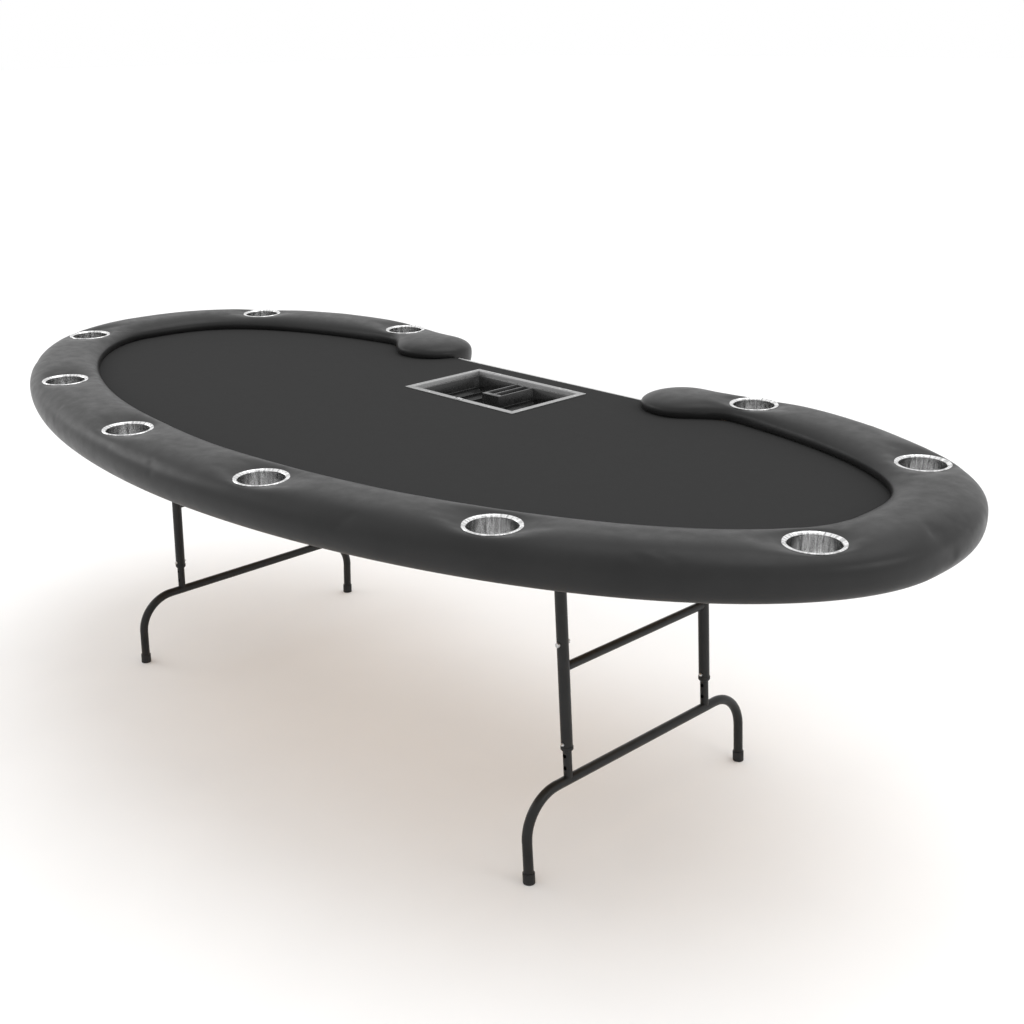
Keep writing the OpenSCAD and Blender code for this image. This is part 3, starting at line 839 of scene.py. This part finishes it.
def rounded(node, name, width, look, angle=30):
    """A copy of a CAD node with its edges rounded, on the node's own body."""
    source = NODES[node]
    obj = bpy.data.objects.new(name, source.data.copy())
    bpy.context.scene.collection.objects.link(obj)
    bm = bmesh.new()
    bm.from_mesh(obj.data)
    bmesh.ops.remove_doubles(bm, verts=bm.verts, dist=2e-6)
    bmesh.ops.dissolve_limit(bm, angle_limit=math.radians(1.0), verts=bm.verts, edges=bm.edges)
    bm.to_mesh(obj.data)
    bm.free()
    modifier = obj.modifiers.new("rounding", "BEVEL")
    modifier.width = width
    modifier.segments = 2
    modifier.limit_method = "ANGLE"
    modifier.angle_limit = math.radians(angle)
    modifier.use_clamp_overlap = True
    modifier.harden_normals = False
    apply_modifiers(obj)
    smooth(obj, 35)
    return dress(obj, source["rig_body"], look, [node])


LOOK_OF_SLOT = {
    "plywood": "plywood",
    "foam": "foam",
    "speed_cloth": "speed_cloth",
    "rail_vinyl": "vinyl",
    "edge_aluminium": "aluminium",
    "binding": "plastic",
    "cup_steel": "cup",
    "zinc_steel": "zinc",
    "tray_plastic": "tray",
    "leg_paint": "paint",
    "black_plastic": "plastic",
    "lock_chrome": "chrome",
}

SLOT_OF = {entry["node"]: entry["material_slot"] for entry in RECORD["subparts"]}


def paint_cad_nodes():
    """Every CAD node takes the procedural material of its slot."""
    for name, obj in NODES.items():
        look = LOOK_OF_SLOT[SLOT_OF[name]]
        obj.data.materials.clear()
        obj.data.materials.append(material(look))
        for face in obj.data.polygons:
            face.material_index = 0
            face.use_smooth = True
        obj.data.set_sharp_from_angle(angle=math.radians(30))


# ---- Stage: floor, light and camera ----

FOCAL = 48.56
CAMERA_ROTATION = (1.79638128, 0.74567334, -0.54413949)
CAMERA_SHIFT = (-0.08286327643, 0.41826717582, 3.42133425745)
AXIS_TO_CAMERA_FRAME = 0.182
FLOOR_REACH = 60.0
SKY_LIGHT = 1.0
SUN_POWER = 0.8
SUN_DIRECTION = (-0.10, -0.30, -1.0)


def camera():
    """The camera at the viewing angle that was fitted to the table."""
    data = bpy.data.cameras.new("camera")
    data.lens = FOCAL
    data.sensor_width = 36
    data.clip_end = 100
    turn = Vector(CAMERA_ROTATION)
    r = Matrix.Rotation(turn.length, 3, turn.normalized())
    t = Vector(CAMERA_SHIFT)
    place = -(r.transposed() @ t) + Vector((0, AXIS_Y + AXIS_TO_CAMERA_FRAME, 0))
    axes = Matrix((r[0], -r[1], -r[2])).transposed()
    obj = bpy.data.objects.new("camera", data)
    bpy.context.scene.collection.objects.link(obj)
    obj.matrix_world = Matrix.Translation(place) @ axes.to_4x4()
    bpy.context.scene.camera = obj


def soft_sun():
    """A broad overhead light that reaches the floor evenly, out to the horizon."""
    data = bpy.data.lights.new("overhead", "SUN")
    data.energy = SUN_POWER
    data.angle = math.radians(50)
    obj = bpy.data.objects.new("overhead", data)
    bpy.context.scene.collection.objects.link(obj)
    obj.rotation_mode = "QUATERNION"
    obj.rotation_quaternion = Vector(SUN_DIRECTION).to_track_quat("-Z", "Y")


def area_light(name, place, target, size, power):
    data = bpy.data.lights.new(name, "AREA")
    data.shape = "RECTANGLE"
    data.size, data.size_y = size
    data.energy = power
    obj = bpy.data.objects.new(name, data)
    bpy.context.scene.collection.objects.link(obj)
    obj.location = place
    obj.rotation_mode = "QUATERNION"
    obj.rotation_quaternion = (Vector(target) - Vector(place)).to_track_quat("-Z", "Y")


def stage():
    n = FLOOR_REACH
    floor = new_object("floor", [(-n, -n, 0), (n, -n, 0), (n, n, 0), (-n, n, 0)], [(0, 1, 2, 3)])
    s = Shader("pale_floor", Roughness=0.9, Specular_IOR_Level=0.1)
    s.put("Base Color", s.ramp(s.noise(3.0, 2.0), (0.3, 0.90), (0.7, 0.92)))
    floor.data.materials.append(s.material)
    world = bpy.data.worlds.new("world")
    bpy.context.scene.world = world
    world.use_nodes = True
    background = world.node_tree.nodes["Background"]
    background.inputs["Color"].default_value = (1.0, 1.0, 1.0, 1.0)
    background.inputs["Strength"].default_value = SKY_LIGHT
    soft_sun()
    area_light("left", (-3.4, -1.6, 2.2), (-0.2, 0, 0.7), (1.6, 1.2), 14)
    area_light("right", (3.6, 0.6, 1.9), (0.3, 0, 0.7), (1.4, 1.0), 12)
    settings = bpy.context.scene.view_settings
    settings.view_transform = "Standard"
    settings.look = "None"


# ---- The whole scene ----


def rounded_pieces():
    rounded("chip_tray", "tray_moulding", 0.0011, "tray")
    rounded("tray_frame", "tray_surround", 0.0005, "aluminium")
    rounded("edge_trim", "dealer_edge_strip", 0.0008, "edge")
    rounded("edge_binding", "dealer_edge_binding", 0.0008, "plastic")
    rounded("hinge_brackets", "hinge_straps", 0.0006, "paint")
    rounded("brace_anchors", "brace_brackets", 0.0006, "paint")
    rounded("leg_battens", "timber_battens", 0.0020, "plywood")
    rounded("tray_lock", "tray_lock_plate", 0.0003, "chrome")
    for side in SIDES:
        rounded(f"{side}_foot_caps", f"{side}_rubber_feet", 0.0022, "plastic", 50)
        rounded(f"{side}_collars", f"{side}_tube_collars", 0.0006, "plastic", 50)
        rounded(f"{side}_deck_link", f"{side}_long_brace_link", 0.0004, "zinc", 50)
        rounded(f"{side}_leg_link", f"{side}_short_brace_link", 0.0004, "zinc", 50)


camera()
stage()
paint_cad_nodes()
cover = rail_cover()
foam_underlay()
playing_cloth()
rounded_pieces()
